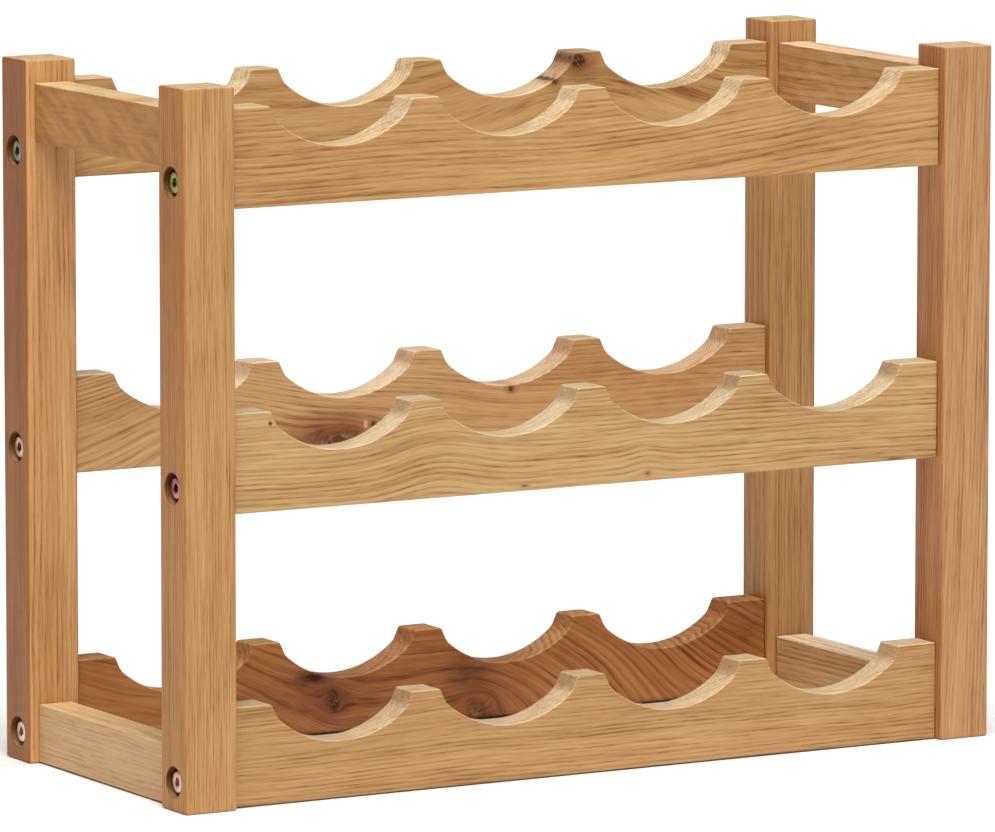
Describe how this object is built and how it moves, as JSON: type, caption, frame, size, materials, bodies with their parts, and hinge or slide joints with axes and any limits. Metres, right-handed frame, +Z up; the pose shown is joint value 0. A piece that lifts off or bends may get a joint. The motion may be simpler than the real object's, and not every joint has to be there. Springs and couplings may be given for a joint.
{
  "type": "wine rack",
  "caption": "Free-standing solid oak bottle rack: corner posts carry tiers of scalloped front and rear rails, tied by plain side rails and bolted through the posts.",
  "frame": {"origin": "on the floor, under the middle of the rack", "axes": "+X along the scalloped rails to the right, +Y from the front to the rear, +Z up"},
  "size_m": [0.549, 0.231, 0.4205],
  "materials": {
    "post_front_left": "oiled oak, satin",
    "post_front_right": "oiled oak, satin",
    "post_rear_left": "oiled oak, satin",
    "post_rear_right": "oiled oak, satin",
    "rail_front_bottom": "oiled oak, satin",
    "rail_front_middle": "oiled oak, satin",
    "rail_front_top": "oiled oak, satin",
    "rail_rear_bottom": "oiled oak, satin",
    "rail_rear_middle": "oiled oak, satin",
    "rail_rear_top": "oiled oak, satin",
    "side_rail_left_bottom": "oiled oak, satin",
    "side_rail_left_top": "oiled oak, satin",
    "side_rail_right_bottom": "oiled oak, satin",
    "side_rail_right_top": "oiled oak, satin",
    "bolt": "passivated zinc plate",
    "barrel_nut": "plain steel",
    "dowel": "raw beech",
    "tenon": "raw beech"
  },
  "bodies": {
    "root": {"post_front_left": "post_front_left", "post_front_right": "post_front_right", "post_rear_left": "post_rear_left", "post_rear_right": "post_rear_right", "rail_front_bottom": "rail_front_bottom", "rail_front_middle": "rail_front_middle", "rail_front_top": "rail_front_top", "rail_rear_bottom": "rail_rear_bottom", "rail_rear_middle": "rail_rear_middle", "rail_rear_top": "rail_rear_top", "side_rail_left_bottom": "side_rail_left_bottom", "side_rail_left_top": "side_rail_left_top", "side_rail_right_bottom": "side_rail_right_bottom", "side_rail_right_top": "side_rail_right_top", "bolt_front_bottom_left": "bolt", "bolt_front_bottom_right": "bolt", "bolt_front_middle_left": "bolt", "bolt_front_middle_right": "bolt", "bolt_front_top_left": "bolt", "bolt_front_top_right": "bolt", "bolt_rear_bottom_left": "bolt", "bolt_rear_bottom_right": "bolt", "bolt_rear_middle_left": "bolt", "bolt_rear_middle_right": "bolt", "bolt_rear_top_left": "bolt", "bolt_rear_top_right": "bolt", "barrel_nut_front_bottom_left": "barrel_nut", "barrel_nut_front_bottom_right": "barrel_nut", "barrel_nut_front_middle_left": "barrel_nut", "barrel_nut_front_middle_right": "barrel_nut", "barrel_nut_front_top_left": "barrel_nut", "barrel_nut_front_top_right": "barrel_nut", "barrel_nut_rear_bottom_left": "barrel_nut", "barrel_nut_rear_bottom_right": "barrel_nut", "barrel_nut_rear_middle_left": "barrel_nut", "barrel_nut_rear_middle_right": "barrel_nut", "barrel_nut_rear_top_left": "barrel_nut", "barrel_nut_rear_top_right": "barrel_nut", "dowel_front_bottom_left": "dowel", "dowel_front_bottom_right": "dowel", "dowel_front_middle_left": "dowel", "dowel_front_middle_right": "dowel", "dowel_front_top_left": "dowel", "dowel_front_top_right": "dowel", "dowel_rear_bottom_left": "dowel", "dowel_rear_bottom_right": "dowel", "dowel_rear_middle_left": "dowel", "dowel_rear_middle_right": "dowel", "dowel_rear_top_left": "dowel", "dowel_rear_top_right": "dowel", "tenon_front_bottom_left": "tenon", "tenon_front_bottom_right": "tenon", "tenon_front_top_left": "tenon", "tenon_front_top_right": "tenon", "tenon_rear_bottom_left": "tenon", "tenon_rear_bottom_right": "tenon", "tenon_rear_top_left": "tenon", "tenon_rear_top_right": "tenon"}
  },
  "joints": []
}
